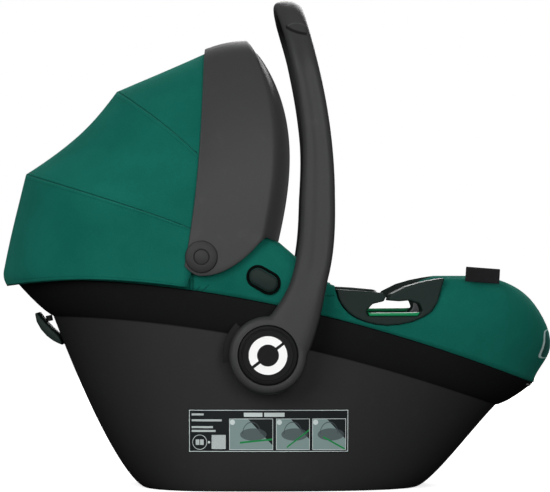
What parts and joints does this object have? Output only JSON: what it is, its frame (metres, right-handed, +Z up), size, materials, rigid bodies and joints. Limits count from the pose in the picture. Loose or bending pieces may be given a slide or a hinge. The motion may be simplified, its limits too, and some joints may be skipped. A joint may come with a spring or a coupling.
{
  "type": "infant car seat",
  "caption": "Reclined infant carrier with a padded rim, a rotating carry handle, a folding canopy with a visor, a harness, belt guides and a rocker base.",
  "frame": {"origin": "centre of the bounding box at the floor the carrier rests on", "axes": "+X towards the feet, +Y to the left side of the child, +Z up"},
  "size_m": [0.6589, 0.4452, 0.5739],
  "materials": {
    "shell_black": "moulded black plastic, fine grain",
    "handle_grey": "satin dark grey plastic",
    "visor_grey": "satin dark grey plastic",
    "button_dark": "smooth dark plastic",
    "green_fabric": "fine woven polyester",
    "canopy_fabric": "fine woven polyester",
    "cushion_fabric": "charcoal knitted fabric over wadding",
    "webbing": "flat woven webbing",
    "green_plastic": "glossy green belt path marker",
    "symbol_white": "white inlay",
    "steel": "zinc plated",
    "foam": "expanded polystyrene foam",
    "red_plastic": "red release button",
    "label": "printed film label",
    "tag_fabric": "folded woven tag",
    "grip_rubber": "soft grip sleeve"
  },
  "bodies": {
    "carrier": {"carrier_shell": "shell_black", "foam_liner": "foam", "seat_cover": "green_fabric", "seat_cushion": "cushion_fabric", "hub_mount_left": "shell_black", "hub_mount_right": "shell_black", "hub_axle_left": "steel", "hub_axle_right": "steel", "belt_guide_left": "button_dark", "belt_guide_right": "button_dark", "belt_guide_lip_left": "green_plastic", "belt_guide_lip_right": "green_plastic", "rear_belt_hook": "shell_black", "hook_stop": "shell_black", "base_latch_bar_front": "steel", "base_latch_bar_rear": "steel", "side_bezel_left": "shell_black", "side_bezel_right": "shell_black", "canopy_pivot_left": "button_dark", "canopy_pivot_right": "button_dark", "canopy_panel_rear": "canopy_fabric", "canopy_panel_middle": "canopy_fabric", "canopy_panel_front": "canopy_fabric", "shoulder_strap_left": "webbing", "shoulder_strap_right": "webbing", "shoulder_pad_left": "cushion_fabric", "shoulder_pad_right": "cushion_fabric", "lap_strap_left": "webbing", "lap_strap_right": "webbing", "crotch_strap": "webbing", "crotch_pad": "cushion_fabric", "buckle_body": "shell_black", "buckle_tongue_left": "steel", "buckle_tongue_right": "steel", "adjuster_housing": "shell_black", "size_tag": "tag_fabric", "side_labels": "label"},
    "handle": {"handle_frame": "handle_grey", "handle_grip": "grip_rubber", "handle_hub_left": "handle_grey", "handle_hub_right": "handle_grey", "hub_spring_left": "steel", "hub_spring_right": "steel"},
    "hub_button_left": {"hub_button_left": "button_dark", "hub_symbol_left": "symbol_white", "lock_gear_left": "steel"},
    "side_button_left": {"side_button_left": "button_dark"},
    "hub_button_right": {"hub_button_right": "button_dark", "hub_symbol_right": "symbol_white", "lock_gear_right": "steel"},
    "side_button_right": {"side_button_right": "button_dark"},
    "canopy_rear_bow": {"bow_rear": "shell_black"},
    "canopy_front_bow": {"bow_front": "shell_black"},
    "visor": {"visor": "visor_grey"},
    "headrest": {"headrest": "cushion_fabric"},
    "chest_clip": {"chest_clip_left": "shell_black", "chest_clip_right": "shell_black"},
    "buckle_button": {"buckle_button": "red_plastic"},
    "adjuster_button": {"adjuster_button": "button_dark"}
  },
  "joints": [
    {"name": "handle_rotate", "type": "hinge", "parent": "carrier", "child": "handle", "pos_m": [-0.008, 0, 0.161], "axis": [0, -1, 0], "range_deg": [0, 108]},
    {"name": "hub_button_left_press", "type": "slide", "parent": "handle", "child": "hub_button_left", "axis": [0, -1, 0], "range_m": [0, 0.005], "stiffness_N_per_m": 900, "springref_m": -0.004, "deforming": ["hub_spring_left"]},
    {"name": "hub_button_right_press", "type": "slide", "parent": "handle", "child": "hub_button_right", "axis": [0, 1, 0], "range_m": [0, 0.005], "stiffness_N_per_m": 900, "springref_m": -0.004, "deforming": ["hub_spring_right"]},
    {"name": "side_button_left_press", "type": "slide", "parent": "carrier", "child": "side_button_left", "axis": [0, -1, 0], "range_m": [0, 0.004], "stiffness_N_per_m": 400, "springref_m": -0.003},
    {"name": "side_button_right_press", "type": "slide", "parent": "carrier", "child": "side_button_right", "axis": [0, 1, 0], "range_m": [0, 0.004], "stiffness_N_per_m": 400, "springref_m": -0.003},
    {"name": "canopy_fold", "type": "hinge", "parent": "carrier", "child": "canopy_rear_bow", "pos_m": [-0.0845, 0, 0.2736], "axis": [0, -1, 0], "range_deg": [0, 16], "deforming": ["canopy_panel_rear"]},
    {"name": "canopy_front_bow_turn", "type": "hinge", "parent": "canopy_rear_bow", "child": "canopy_front_bow", "pos_m": [-0.0845, 0, 0.2736], "axis": [0, -1, 0], "range_deg": [0, 17], "deforming": ["canopy_panel_middle"]},
    {"name": "visor_turn", "type": "hinge", "parent": "canopy_front_bow", "child": "visor", "pos_m": [-0.0845, 0, 0.2736], "axis": [0, -1, 0], "range_deg": [0, 27], "deforming": ["canopy_panel_front"]},
    {"name": "headrest_slide", "type": "slide", "parent": "carrier", "child": "headrest", "axis": [-0.7986, 0, 0.6018], "range_m": [0, 0.045]},
    {"name": "chest_clip_slide", "type": "slide", "parent": "carrier", "child": "chest_clip", "axis": [-0.9135, 0, 0.4067], "range_m": [0, 0.012]},
    {"name": "buckle_button_press", "type": "slide", "parent": "carrier", "child": "buckle_button", "axis": [-0.6428, 0, -0.766], "range_m": [0, 0.0028], "stiffness_N_per_m": 400, "springref_m": -0.003},
    {"name": "adjuster_button_press", "type": "slide", "parent": "carrier", "child": "adjuster_button", "axis": [0, 0, -1], "range_m": [0, 0.005], "stiffness_N_per_m": 300, "springref_m": -0.003}
  ],
  "couplings": [
    {"joint": "canopy_front_bow_turn", "follows": "canopy_fold", "ratio": 1.0625},
    {"joint": "visor_turn", "follows": "canopy_fold", "ratio": 1.6875}
  ]
}
